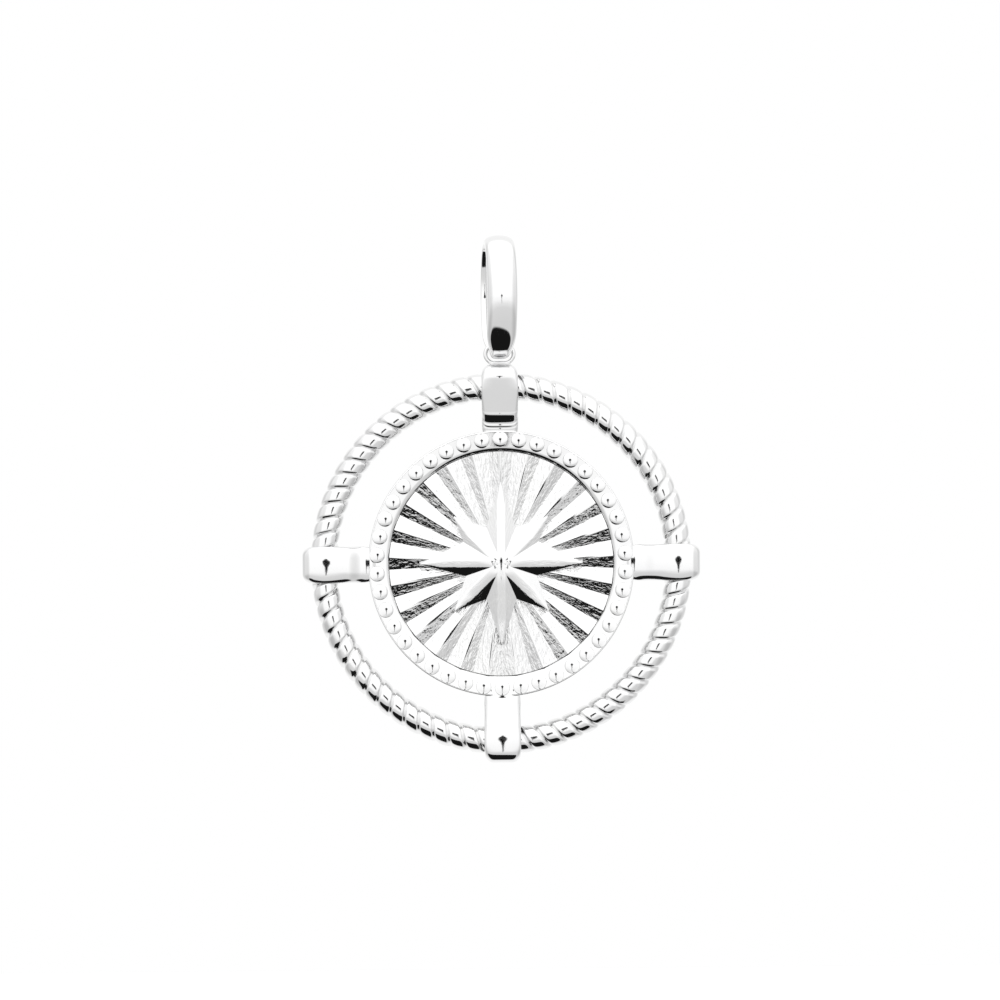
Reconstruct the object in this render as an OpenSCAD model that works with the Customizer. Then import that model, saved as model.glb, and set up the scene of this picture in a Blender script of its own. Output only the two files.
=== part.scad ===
// Star medallion pendant: a beaded rim with four straps that hold a ring of rope wire,
// a fluted disc with an eight-pointed star, and a hanging bail.
// Millimetres. +Z up, +X right, the front faces -Y.
// The origin is the inside top of the bail, where a chain carries the pendant.

/* [Bail] */
// Height of the bail over its outside
bail_h = 6.26; // [5.9:0.02:6.8]
// Depth of the bail over its outside, front to back
bail_depth = 3.5; // [3.2:0.05:3.8]
// Full width of the bail's band
bail_w = 1.5; // [1.2:0.05:1.8]
// Width of the band at its lowest point, inside the eyelet
bail_low_w = 0.8; // [0.6:0.02:0.84]
// Thickness of the band
bail_t = 0.5; // [0.4:0.02:0.52]
// Angle round the oval, from its lowest point, where the band reaches its full width
bail_taper = 52; // [45:1:60]
// Squareness of the band's section, from 1 for an ellipse down to a box
bail_square = 0.95; // [0.4:0.05:1]
// Height of the band's domed outside over its edges; the rest of its thickness lies inside them
bail_dome = 0.36; // [0.2:0.02:0.38]
// Shape of the oval's lower half, from 2 for an ellipse down to a drop
bail_point = 1.5; // [1.4:0.05:2]
// Turn of the hanging bail about the vertical
bail_yaw = 2.5; // [0:0.5:8]
// Angle by which the bail leans sideways from its back to its front
bail_skew = 5; // [0:0.5:6]

/* [Eyelet] */
// Diameter of the eyelet's wire
eye_wire = 0.28; // [0.24:0.01:0.3]
// Width of the eyelet's hole
eye_w = 1.14; // [1.06:0.02:1.2]
// Height of the eyelet's hole
eye_h = 0.64; // [0.62:0.01:0.7]
// Depth to which the eyelet's wire is sunk in the top strap
eye_sink = 0.07; // [0.03:0.01:0.12]
// Gap between the bail's lowest point and the bottom of the hole
bail_gap = 0.05; // [0.03:0.01:0.08]

/* [Medallion rim] */
// Outer radius of the rim
rim_r = 6.68; // [6.6:0.02:6.9]
// Radius of the rim's opening, at the lip
lip_r = 5.66; // [5.62:0.02:5.7]
// Radius where the bevel round the opening meets the rim's face
bevel_r = 5.81; // [5.78:0.01:5.85]
// Depth of that bevel
bevel_drop = 0.08; // [0.05:0.01:0.15]
// Amount by which the rim's face dips from its outer edge to the bevel
face_drop = 0.08; // [0.02:0.01:0.1]
// Thickness of the rim, front to back
rim_t = 1.2; // [1.1:0.05:1.4]
// Number of beads on the rim
bead_n = 42; // [36:2:44]
// Diameter of a bead
bead_d = 0.77; // [0.7:0.01:0.8]
// Radius of the circle of bead centres
bead_circle_r = 6.24; // [6.22:0.01:6.27]
// Height of a bead over the rim's face
bead_rise = 0.17; // [0.12:0.01:0.22]
// Radius of a bead's domed top
bead_dome_r = 1.4; // [0.8:0.05:2]

/* [Star disc] */
// Number of flutes in the field
flute_n = 25; // [15:2:35]
// Height of a flute's ridge over its valley, at the field's edge
flute_rise = 0.3; // [0.1:0.02:0.34]
// Part of each flute's width that its upward side takes
flute_share = 0.56; // [0.5:0.01:0.6]
// Height of the star's point over the middle of the flutes
star_rise = 0.7; // [0.4:0.05:0.8]
// Length of the star's arms at the top, right, bottom and left
star_long = 4.1; // [3.8:0.05:4.3]
// Length of the star's slanting arms
star_short = 3.35; // [3:0.05:3.6]
// Directions of the corners between the right half's arms, clockwise from the top
star_corner_turns = [22.5, 60, 109, 157]; // [20:0.5:160]
// Radius of each of those corners
star_corner_rs = [1.95, 2.2, 1.9, 1.95]; // [1.6:0.05:2.4]
// Height of the star's edge over the flutes' ridges
star_foot = 0.02; // [0.01:0.01:0.1]

/* [Rope ring] */
// Radius of the ring, to the middle of the rope
rope_ring_r = 8.91; // [8.8:0.01:9]
// Diameter of the rope over its lumps
rope_d = 1.37; // [1.2:0.01:1.4]
// Lumps round the ring
lump_n = 70; // [60:2:80]
// Strands that the rope is twisted from
strand_n = 2; // [1:1:3]
// Depth of the grooves between the lumps
groove_depth = 0.17; // [0.08:0.01:0.2]
// Flatness of the lumps: the power by which they fall towards the grooves
lump_power = 5; // [2:1:8]
// Part of the fall that is an even curve over the whole lump
lump_curve = 0.2; // [0:0.05:1]

/* [Straps] */
// Width of a strap
strap_w = 1.85; // [1.6:0.05:2]
// Distance from the medallion's centre to a strap's outer end
strap_reach = 10; // [9.98:0.01:10.1]
// Height of a strap's crest over the middle plane
strap_crest = 1.04; // [1.02:0.01:1.1]
// Height of the top strap over the middle plane where it meets the rim
top_foot = 0.48; // [0.44:0.01:0.58]
// Height of the other three straps there
side_foot = 0.62; // [0.44:0.01:0.64]
// Angle at which the top strap slopes up to its crest
top_slope = 10; // [4:1:12]
// Angle at which the other three straps slope up to theirs
side_slope = 1.5; // [0:0.5:12]
// Radius of the bend over the rope, seen from the side
strap_bend_r = 0.6; // [0.4:0.02:0.62]
// Radius of the outer corners, seen from the front
strap_corner_r = 0.45; // [0.3:0.05:0.6]

/* [Hidden] */

silver = [0.87, 0.87, 0.88];
bright_silver = [0.93, 0.93, 0.94];
grey_silver = [0.72, 0.72, 0.74];

// Clearance between pieces that are set or threaded into each other
fit_gap = 0.03;

// Bail: an oval whose inside top is the origin
bail_half_depth = (bail_depth - bail_t) / 2;
bail_half_h = (bail_h - bail_t) / 2;
bail_mid_z = bail_t - bail_h / 2;
bail_low_z = bail_t - bail_h;
bail_stations = 48;
bail_section_points = 16;

// Eyelet and medallion hang below the bail
eye_low_z = bail_low_z - bail_gap - eye_wire;
pendant_z = eye_low_z + eye_sink - strap_reach;
eye_ring_r = (eye_h + eye_wire) / 2;
eye_straight = eye_w - eye_h;
eye_mid_y = strap_reach - eye_sink + eye_wire / 2 + eye_ring_r;

// Rim: heights are over the middle plane, + to the front
rim_face = rim_t / 2;
rim_chamfer = 0.08;
bead_steps = 48;
face_inner = rim_face - face_drop;
lip_edge = face_inner - bevel_drop;
bead_foot = rim_face - face_drop * (rim_r - bead_circle_r) / (rim_r - bevel_r);
flange_r = lip_r + 0.06;
flange_top = 0.1;
disc_back = -0.41;
ledge_r = 5.2;
ledge_top = disc_back - fit_gap;

// Disc
flute_level = 0.35;
flute_edge_r = lip_r - fit_gap;
flute_pitch = 360 / flute_n;
flute_slope = flute_rise / 2 / flute_edge_r;
side_flutes = (flute_n - 1) / 2;
last_ridge = side_flutes * flute_pitch;
star_arms = 8;
arm_pitch = 360 / star_arms;
star_apex = flute_level + star_rise;
star_root = -0.2;

// Rope: rows of points along each lump, and points round the wire
lump_pitch = 360 / lump_n;
lump_rows = 4;
rope_sides = 12;

// Straps
eye_hole_r = rope_d / 2 + fit_gap;
strap_root = 6.3;
top_rise_start = 6.9;
top_rise_end = 7.55;
side_rise_start = 6.7;
side_rise_end = 8.2;
strap_rise_steps = 8;
arc_steps = 7;

function smooth(t) = t * t * (3 - 2 * t);

function bow(v, e) = sign(v) * pow(abs(v), e);

function arc(cx, cy, r, a0, a1) = [
    for (k = [0 : arc_steps])
        let (a = a0 + (a1 - a0) * k / arc_steps)
        [cx + r * cos(a), cy + r * sin(a)]
];

// Stands a face-up shape on its edge, front to -Y, at the medallion's centre.
module hung() {
    translate([0, 0, pendant_z]) rotate([90, 0, 0]) children();
}

// A closed skin over a grid of points that wraps both ways. Going once across the columns
// comes back to the same skin `slip` rows further on.
module wrapped_skin(rows, cols, slip, points) {
    function at(i, j) = ((i + (j == cols ? slip : 0)) % rows) * cols + j % cols;
    polyhedron(points = points, faces = [
        for (i = [0 : rows - 1], j = [0 : cols - 1]) each [
            [at(i, j), at(i + 1, j + 1), at(i + 1, j)],
            [at(i, j), at(i, j + 1), at(i + 1, j + 1)]
        ]
    ]);
}

// Width of the bail's band at an angle round the oval from its lowest point.
function band_w(t) =
    let (turn = min(t, 360 - t))
    turn >= bail_taper ? bail_w
        : bail_w - (bail_w - bail_low_w) * (1 + cos(180 * turn / bail_taper)) / 2;

// A point of the bail: t goes round the oval, a goes round the band's section. The oval's
// upper half is an ellipse, and its lower half follows (y / depth)^2 + (z / height)^m = 1.
function bail_skin_point(t, a) =
    let (
        m = cos(t) > 0 ? bail_point : 2,
        normal_y = 2 * sin(t) / bail_half_depth,
        normal_z = -m * bow(cos(t), 2 - 2 / m) / bail_half_h,
        length = norm([normal_y, normal_z]),
        rise = cos(a) > 0 ? bail_dome : bail_t - bail_dome,
        out = rise * bow(cos(a), bail_square) + bail_t / 2 - bail_dome,
        y = bail_half_depth * sin(t) + out * normal_y / length
    )
    [
        band_w(t) / 2 * bow(sin(a), bail_square) - y * tan(bail_skew),
        y,
        bail_mid_z - bail_half_h * bow(cos(t), 2 / m) + out * normal_z / length
    ];

module bail() {
    color(bright_silver) rotate(bail_yaw) wrapped_skin(
        bail_stations, bail_section_points, 0,
        [
            for (i = [0 : bail_stations - 1], j = [0 : bail_section_points - 1])
                bail_skin_point(360 * i / bail_stations, 360 * j / bail_section_points)
        ]
    );
}

// Section of the rim, as [radius, height over the middle plane].
module rim_section() {
    polygon([
        [ledge_r, -rim_face],
        [rim_r - rim_chamfer, -rim_face],
        [rim_r, -rim_face + rim_chamfer],
        [rim_r, rim_face - rim_chamfer],
        [rim_r - rim_chamfer, rim_face],
        [bevel_r, face_inner],
        [lip_r, lip_edge],
        [lip_r, flange_top + fit_gap],
        [flange_r + fit_gap, flange_top + fit_gap],
        [flange_r + fit_gap, ledge_top],
        [ledge_r, ledge_top]
    ]);
}

// A low button with a domed top, sunk in the rim.
module bead() {
    intersection() {
        cylinder(d = bead_d, h = 4 * bead_rise, center = true, $fn = bead_steps);
        translate([0, 0, bead_rise - bead_dome_r]) sphere(r = bead_dome_r, $fn = 2 * bead_steps);
    }
}

module beads() {
    for (i = [0 : bead_n - 1])
        rotate(90 + i * 360 / bead_n) translate([bead_circle_r, 0, bead_foot]) bead();
}

// Half of a strap's side view: a step up from the rim, a slope, and a bend round the rope.
function strap_half(slope, foot, rise_start, rise_end) =
    let (
        bend = arc(strap_reach - strap_bend_r, strap_crest - strap_bend_r, strap_bend_r,
            90 + slope, 0),
        top = bend[0][1] - (bend[0][0] - rise_end) * tan(slope)
    )
    concat(
        [[strap_root, foot]],
        [
            for (k = [0 : strap_rise_steps])
                let (t = k / strap_rise_steps)
                [rise_start + (rise_end - rise_start) * t, foot + (top - foot) * smooth(t)]
        ],
        bend
    );

module strap_side_view(slope, foot, rise_start, rise_end) {
    front = strap_half(slope, foot, rise_start, rise_end);
    last = len(front) - 1;
    polygon(concat(front, [for (i = [last : -1 : 0]) [front[i][0], -front[i][1]]]));
}

module strap_front_view() {
    half = strap_w / 2;
    corner_x = strap_reach - strap_corner_r;
    corner_y = half - strap_corner_r;
    polygon(concat(
        [[strap_root, -half]],
        arc(corner_x, -corner_y, strap_corner_r, -90, 0),
        arc(corner_x, corner_y, strap_corner_r, 0, 90),
        [[strap_root, half]]
    ));
}

// A strap along +X, face up.
module strap(slope, foot, rise_start, rise_end) {
    intersection() {
        rotate([90, 0, 0]) translate([0, 0, -strap_w / 2]) linear_extrude(strap_w)
            strap_side_view(slope, foot, rise_start, rise_end);
        translate([0, 0, -rim_t]) linear_extrude(2 * rim_t) strap_front_view();
    }
}

// The space that the rope ring takes, with its clearance.
module rope_passage() {
    rotate_extrude($fn = 180) translate([rope_ring_r, 0]) circle(eye_hole_r, $fn = 48);
}

// Oval ring of round wire that stands on the top strap.
module eyelet() {
    translate([0, eye_mid_y, 0]) {
        for (side = [1, -1]) {
            translate([side * eye_straight / 2, 0, 0]) rotate(side * -90)
                rotate_extrude(angle = 180, $fn = 48)
                    translate([eye_ring_r, 0]) circle(d = eye_wire, $fn = 24);
            translate([-eye_straight / 2, side * eye_ring_r, 0]) rotate([0, 90, 0])
                cylinder(d = eye_wire, h = eye_straight, $fn = 24);
        }
    }
}

module bezel_frame() {
    color(silver) hung() {
        rotate_extrude($fn = 180) rim_section();
        beads();
        difference() {
            union() {
                rotate(90) strap(top_slope, top_foot, top_rise_start, top_rise_end);
                for (turn = [0, 180, 270])
                    rotate(turn) strap(side_slope, side_foot, side_rise_start, side_rise_end);
            }
            rope_passage();
        }
        eyelet();
    }
}

// Slope of the folded field along a ray, as height over the flute's level for each mm of radius.
// The flutes mirror about the vertical, with a ridge at the top and a valley at the bottom.
function fold(angle) =
    let (
        from_top = abs(((angle + 90) % 360 + 360) % 360 - 180),
        place = from_top / flute_pitch - floor(from_top / flute_pitch),
        valley = from_top > last_ridge ? 0.5 : 1 - flute_share
    )
    flute_slope * (place < valley ? 1 - 2 * place / valley
        : 2 * (place - valley) / (1 - valley) - 1);

// Angles of the ridges and valleys, counter-clockwise from the bottom valley.
function fold_angles() =
    let (
        right = [
            for (k = [0 : side_flutes - 1]) each
                [90 - k * flute_pitch, 90 - (k + 1 - flute_share) * flute_pitch]
        ]
    )
    concat(
        [-90, 90 - last_ridge],
        [for (i = [len(right) - 1 : -1 : 0]) right[i]],
        [for (i = [1 : len(right) - 1]) 180 - right[i]],
        [90 + last_ridge]
    );

function ray_point(r, angle, h) = [r * cos(angle), r * sin(angle), h];

// Fan of flat facets that meet at the centre.
module fluted_field() {
    angles = fold_angles();
    count = len(angles);
    rim = [for (a = angles) ray_point(flute_edge_r, a, flute_level + fold(a) * flute_edge_r)];
    foot = [for (a = angles) ray_point(flute_edge_r, a, 0)];
    polyhedron(
        points = concat(rim, foot, [[0, 0, flute_level], [0, 0, 0]]),
        faces = [
            for (i = [0 : count - 1]) let (n = (i + 1) % count) each [
                [2 * count, n, i],
                [2 * count + 1, count + i, count + n],
                [i, n, count + n],
                [i, count + n, count + i]
            ]
        ]
    );
}

// Outline of the star, clockwise from the top: tips and corners by turns.
function star_outline() =
    let (
        turns = concat(star_corner_turns, [for (i = [3 : -1 : 0]) 360 - star_corner_turns[i]]),
        reach = concat(star_corner_rs, [for (i = [3 : -1 : 0]) star_corner_rs[i]])
    )
    [
        for (k = [0 : star_arms - 1]) each [
            [k * arm_pitch, k % 2 == 0 ? star_long : star_short],
            [turns[k], reach[k]]
        ]
    ];

// Eight arms, each with two facets that meet in a ridge, on an upright edge.
module star() {
    outline = star_outline();
    count = len(outline);
    edge = [
        for (p = outline)
            ray_point(p[1], 90 - p[0], flute_level + flute_slope * p[1] + star_foot)
    ];
    root = [for (p = outline) ray_point(p[1], 90 - p[0], star_root)];
    polyhedron(
        points = concat(edge, root, [[0, 0, star_apex], [0, 0, star_root]]),
        faces = [
            for (i = [0 : count - 1]) let (n = (i + 1) % count) each [
                [2 * count, i, n],
                [2 * count + 1, count + n, count + i],
                [i, count + n, n],
                [i, count + i, count + n]
            ]
        ]
    );
}

module star_disc() {
    color(silver) hung() {
        translate([0, 0, disc_back])
            cylinder(r = flange_r, h = flange_top - disc_back, $fn = 180);
        fluted_field();
        star();
    }
}

// Half thickness of the rope at a place u along a lump, from -1 to 1 between its grooves.
function lump_r(u) =
    rope_d / 2 - groove_depth * (lump_curve * u * u + (1 - lump_curve) * pow(abs(u), lump_power));

// A point of the rope: row i follows a strand, column j goes round the wire.
function rope_point(i, j) =
    let (
        around = 360 * j / rope_sides,
        along = lump_pitch * (i / lump_rows - strand_n * j / rope_sides),
        thick = lump_r(2 * (i % lump_rows) / lump_rows - 1),
        r = rope_ring_r + thick * cos(around)
    )
    ray_point(r, along, thick * sin(around));

module rope_ring() {
    rows = lump_n * lump_rows;
    color(grey_silver) hung() wrapped_skin(
        rows, rope_sides, rows - strand_n * lump_rows,
        [for (i = [0 : rows - 1], j = [0 : rope_sides - 1]) rope_point(i, j)]
    );
}

bail();
bezel_frame();
star_disc();
rope_ring();
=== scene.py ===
# %% [markdown]
# # A star medallion on a bail
# This lesson dresses a small silver pendant: a round medallion with a beaded rim, a fluted
# field and an eight-pointed star, held by four straps inside a ring of rope wire. A bail on
# top lets it hang from a chain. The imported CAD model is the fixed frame, in metres, and every
# piece made here sits at the same place as the CAD piece that it stands for.

import math

import bmesh
import bpy
import numpy as np
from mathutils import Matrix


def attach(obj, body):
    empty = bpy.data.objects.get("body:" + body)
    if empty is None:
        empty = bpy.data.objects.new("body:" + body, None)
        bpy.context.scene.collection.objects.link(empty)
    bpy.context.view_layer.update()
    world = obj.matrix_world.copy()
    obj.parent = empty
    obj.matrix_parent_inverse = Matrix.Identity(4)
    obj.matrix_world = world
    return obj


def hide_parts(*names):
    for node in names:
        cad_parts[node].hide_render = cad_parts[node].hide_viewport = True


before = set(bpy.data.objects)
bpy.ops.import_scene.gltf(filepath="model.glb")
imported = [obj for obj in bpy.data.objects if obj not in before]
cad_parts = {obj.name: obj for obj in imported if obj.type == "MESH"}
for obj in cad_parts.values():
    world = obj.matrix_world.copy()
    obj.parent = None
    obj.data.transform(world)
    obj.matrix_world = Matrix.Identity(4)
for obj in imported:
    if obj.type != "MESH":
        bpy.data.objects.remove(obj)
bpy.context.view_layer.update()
MM = 0.001

# %% [markdown]
# ## Where things are
# Sizes are in millimetres and are those of the CAD source, so that each skin lies on its
# solid. A point of the medallion is easiest to give face up: x to the right, y up, and its
# height over the middle plane, which is positive to the front. One function then stands it
# upright at the place where the medallion hangs, which follows from the bail and the eyelet
# above it.

# %% Where the medallion hangs
BAIL_H, BAIL_T, BAIL_GAP = 6.26, 0.5, 0.05
EYE_WIRE, EYE_SINK = 0.28, 0.07
STRAP_REACH = 10.0
EYE_LOW_Z = BAIL_T - BAIL_H - BAIL_GAP - EYE_WIRE
PENDANT_Z = EYE_LOW_Z + EYE_SINK - STRAP_REACH
print("the medallion's centre is at z =", round(PENDANT_Z, 2), "mm")


def hung(x, y, height):
    """Face-up points stood upright: x stays, y becomes z, and the height points to the front."""
    x, y, height = np.broadcast_arrays(x, y, height)
    return np.stack([x, -height, PENDANT_Z + y], axis=-1) * MM


# %% [markdown]
# ## From a grid of points to a closed skin
# Nearly every piece of a pendant is a skin that closes in both directions, as a ring does. It
# could be pulled from Blender's own rings and spheres by hand, but then nothing says how big a
# thing is. So its points are worked out as one array, and this helper numbers the four corners
# of each patch. Where a rope's strands wind round the wire, going once across comes back to
# the same skin some rows further on, which is the slip.

# %% Patches of a grid
def patches(rows, cols, slip=0, rows_close=True):
    """Corner numbers (i, j), (i, j+1), (i+1, j+1), (i+1, j) of each patch of a grid.
    Column `cols` is column 0 again, `slip` rows further on."""
    last = rows if rows_close else rows - 1
    i, j = np.meshgrid(np.arange(last), np.arange(cols), indexing="ij")

    def number(row, col):
        return (row + slip * (col // cols)) % rows * cols + col % cols

    corners = [number(i, j), number(i, j + 1), number(i + 1, j + 1), number(i + 1, j)]
    return np.stack(corners, axis=-1).reshape(-1, 4)


def signed_volume(points, faces):
    """A sixth of the sum of a . (b x c) over the triangles: positive if faces point outwards."""
    quads = np.array([f if len(f) == 4 else [*f, f[0]] for f in faces])
    a, b, c, d = (points[quads[:, k]] for k in range(4))
    return float(np.sum(a * np.cross(b, c)) + np.sum(a * np.cross(c, d))) / 6


print("a ring of 4 by 3 points closes with", len(patches(4, 3)), "patches")

# %% [markdown]
# ## From a skin to a piece
# Each piece gets its mesh, its finish, the body that it moves with and the CAD piece that it
# stands for. Whether its faces point outwards is read from the sign of its volume, which is
# surer than looking. Its place is in its points, so the object itself stays at the origin.

# %% Making a piece
# Points of a pole that lie closer than this, in metres, are one point
WELD = 1e-8


def make_piece(name, points, faces, body, node, finish, weld=False):
    """Puts points and faces in a mesh, faces outwards, and hands the piece to the frame.
    Welding joins points that fall together, as the ends of a ball's rows do at its poles."""
    points = np.asarray(points).reshape(-1, 3)
    faces = [list(map(int, f)) for f in faces]
    volume = signed_volume(points, faces)
    if volume < 0:
        faces = [f[::-1] for f in faces]
    mesh = bpy.data.meshes.new(name)
    mesh.from_pydata(points, [], faces)
    if weld:
        edit = bmesh.new()
        edit.from_mesh(mesh)
        bmesh.ops.remove_doubles(edit, verts=edit.verts, dist=WELD)
        edit.to_mesh(mesh)
        edit.free()
    mesh.update()
    mesh.shade_smooth()
    mesh.materials.append(finish)
    piece = bpy.data.objects.new(name, mesh)
    bpy.context.scene.collection.objects.link(piece)
    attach(piece, body)
    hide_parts(node)
    print(f"{name}: {len(points)} points, {abs(volume) / MM**3:.2f} mm3")
    return piece


# %% [markdown]
# ## Finishes
# By its white colour the metal is taken for sterling silver with a thin plating of rhodium,
# which keeps it from tarnishing. Such pieces are cast, then polished on a wheel, so they
# mirror the studio almost sharply, with very shallow waves that the polishing leaves. Colours
# are written as they look on a screen, and one function turns them into the linear values that
# Blender wants.

# %% Colour and node helpers
NOISE, MATH, MAP_RANGE = "ShaderNodeTexNoise", "ShaderNodeMath", "ShaderNodeMapRange"


def linear(hex_colour):
    """Linear RGBA of an sRGB hex colour: each channel goes through the sRGB curve."""
    s = np.array([int(hex_colour[k : k + 2], 16) for k in (1, 3, 5)]) / 255
    rgb = np.where(s <= 0.04045, s / 12.92, ((s + 0.055) / 1.055) ** 2.4)
    return (*(float(v) for v in rgb), 1.0)


def add(tree, kind, inputs=None, **settings):
    """Adds one node with its settings. An input is a value, an output socket that feeds it, or
    a node, whose first output then feeds it."""
    node = tree.nodes.new(kind)
    for key, value in settings.items():
        setattr(node, key, value)
    for key, value in (inputs or {}).items():
        if isinstance(value, bpy.types.Node):
            value = value.outputs[0]
        if isinstance(value, bpy.types.NodeSocket):
            tree.links.new(value, node.inputs[key])
        else:
            node.inputs[key].default_value = value
    return node


def new_finish(name):
    """An empty material with its Principled shader and its node tree."""
    finish = bpy.data.materials.new(name)
    finish.use_nodes = True
    return finish, finish.node_tree, finish.node_tree.nodes["Principled BSDF"]


print("mid grey on a screen is", round(linear("#808080")[0], 3), "of the light")

# %% [markdown]
# ## Polished silver
# Polish could be one low roughness everywhere, but then the mirror is too perfect to be metal.
# Three noises break it: waves of the polishing wheel as a very shallow bump, hairlines that
# vary the roughness, and a drift of colour where the plating is thicker. Real hairlines are
# near 0.01 mm; they are drawn at 0.05 mm, which is as fine as this view can show.

# %% Polished silver
HAIRLINE_MM, DRIFT_MM = 0.05, 2.5
SILVER_DARKER, SILVER_LIGHTER = "#E4E4E5", "#EBEBEA"


def polished_silver(name, wave_mm, wave_depth_mm, rough_low, rough_high):
    """Rhodium-plated silver: a metal with waves `wave_mm` long and `wave_depth_mm` deep, and a
    roughness that the hairlines vary from `rough_low` to `rough_high`."""
    finish, tree, shader = new_finish(name)
    shader.inputs["Metallic"].default_value = 1.0
    place = add(tree, "ShaderNodeTexCoord").outputs["Object"]
    waves = add(tree, NOISE, {"Vector": place, "Scale": 1 / (wave_mm * MM),
                              "Detail": 2.0, "Roughness": 0.4})
    hairlines = add(tree, NOISE, {"Vector": place, "Scale": 1 / (HAIRLINE_MM * MM),
                                  "Detail": 3.0, "Roughness": 0.6})
    drift = add(tree, NOISE, {"Vector": place, "Scale": 1 / (DRIFT_MM * MM), "Detail": 2.0})
    # Sockets 6 and 7 of a Mix node are its two colours, and its output 2 is their mix.
    colour = add(tree, "ShaderNodeMix", {0: drift, 6: linear(SILVER_DARKER),
                                         7: linear(SILVER_LIGHTER)}, data_type="RGBA")
    rough = add(tree, MAP_RANGE, {"Value": hairlines, "From Min": 0.3, "From Max": 0.7,
                                  "To Min": rough_low, "To Max": rough_high})
    bump = add(tree, "ShaderNodeBump", {"Height": waves, "Strength": 1.0,
                                        "Distance": wave_depth_mm * MM})
    tree.links.new(colour.outputs[2], shader.inputs["Base Color"])
    tree.links.new(rough.outputs["Result"], shader.inputs["Roughness"])
    tree.links.new(bump.outputs["Normal"], shader.inputs["Normal"])
    return finish


polished = polished_silver("polished_rhodium_silver", wave_mm=0.6, wave_depth_mm=0.0012,
                           rough_low=0.03, rough_high=0.07)
wire_silver = polished_silver("twisted_silver_wire", wave_mm=0.5, wave_depth_mm=0.0015,
                              rough_low=0.04, rough_high=0.09)
print("plating in linear values:", [round(v, 3) for v in linear(SILVER_LIGHTER)])

# %% [markdown]
# ## Silver from under a cutting tool
# The flutes look cut and not polished after that, so they keep the tool's marks: bright facets
# with rows of small marks that run round the disc. A bump along straight axes would cross the
# flutes at all angles, so the marks read the disc's own map, degrees round it and millimetres
# out from its middle. Real marks are likely finer. Of the sizes tried, 1.9 degrees wide and
# 0.45 mm long came nearest to the photograph. The depth is that of the noise from end to end.

# %% Cut silver
MARK_DEGREES, MARK_MM, MARK_DEPTH_MM = 1.9, 0.45, 0.07


def diamond_cut_silver(name):
    """The plated silver with rows of tool marks on top of its own waves, as strong as the
    point attribute `cut` says."""
    finish = polished_silver(name, wave_mm=0.8, wave_depth_mm=0.0006,
                             rough_low=0.03, rough_high=0.08)
    tree, shader = finish.node_tree, finish.node_tree.nodes["Principled BSDF"]
    lines_uv = add(tree, "ShaderNodeUVMap", uv_map="cut_lines")
    stretched = add(tree, "ShaderNodeMapping",
                    {"Vector": lines_uv, "Scale": (1 / MARK_DEGREES, 1 / MARK_MM, 1.0)})
    marks = add(tree, NOISE, {"Vector": stretched, "Scale": 1.0,
                              "Detail": 2.0, "Roughness": 0.6})
    cut = add(tree, "ShaderNodeAttribute", attribute_name="cut").outputs["Fac"]
    waves = shader.inputs["Normal"].links[0].from_socket
    bump = add(tree, "ShaderNodeBump", {"Height": marks, "Strength": cut,
                                        "Distance": MARK_DEPTH_MM * MM, "Normal": waves})
    tree.links.new(bump.outputs["Normal"], shader.inputs["Normal"])
    return finish


cut_silver = diamond_cut_silver("diamond_cut_silver")
print("finishes:", [m.name for m in bpy.data.materials])

# %% [markdown]
# ## The bail
# The real bail is a band of silver bent to a closed oval and polished round on the outside. It
# narrows at the bottom, where it goes through the eyelet. A curve with a bevel would twist its
# section, so the skin is worked out directly: one number goes round the oval, the other round
# the band's section, a softened box. Its foot is 0.18 mm broader here than in the CAD solid,
# and fuller, because a late look at the photograph showed it so.

# %% Bail
BAIL_DEPTH, BAIL_W, BAIL_LOW_W = 3.5, 1.5, 0.98
# Degrees to either side of the foot over which the band narrows
BAIL_TAPER = 46
# Power of the lower half's curve, where 2 is an ellipse and 1 comes to a corner
BAIL_POINT = 1.5
# Power of the section, where 1 is an ellipse and 0 a box: outside, less by this at the foot,
# and inside
BAIL_OUTSIDE, FOOT_FULLER, BAIL_INSIDE = 0.95, 0.35, 0.3
# How far the outside is domed over the band's edges
BAIL_DOME = 0.36
# Degrees that the bail is turned about the vertical, and that its band leans
BAIL_YAW, BAIL_SKEW = 2.5, 5


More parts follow.
